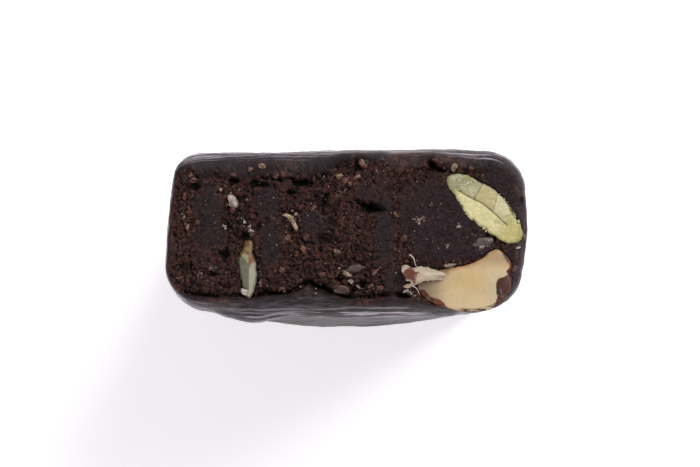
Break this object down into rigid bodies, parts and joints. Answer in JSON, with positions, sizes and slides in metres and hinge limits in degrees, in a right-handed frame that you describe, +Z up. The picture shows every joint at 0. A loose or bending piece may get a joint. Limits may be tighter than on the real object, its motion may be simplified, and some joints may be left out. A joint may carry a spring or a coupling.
{
  "type": "granola bar",
  "caption": "Half of a dark cocoa, date and nut bar standing on end, knife cut on top with a green pumpkin seed, a cashew piece and a seed splinter showing.",
  "frame": {"origin": "middle of the flat foot that the bar stands on", "axes": "+Z up along the bar's length to the cut face, +X along the bar's width, +Y through its thickness from the flared front lip to the back"},
  "size_m": [0.0364, 0.0176, 0.0458],
  "materials": {
    "dough": "dark cocoa and date paste, satin where pressed or smeared, crumbly where torn",
    "seed": "pale yellow-green cut seed, dull and slightly waxy",
    "nut": "cream cut nut, waxy, with scraps of red-brown skin",
    "sliver": "grey-green seed splinter, waxy",
    "flake": "dry off-white nut flake"
  },
  "bodies": {
    "root": {"bar_dough": "dough", "pumpkin_seed": "seed", "nut": "nut", "seed_sliver": "sliver", "nut_flake": "flake"}
  },
  "joints": []
}
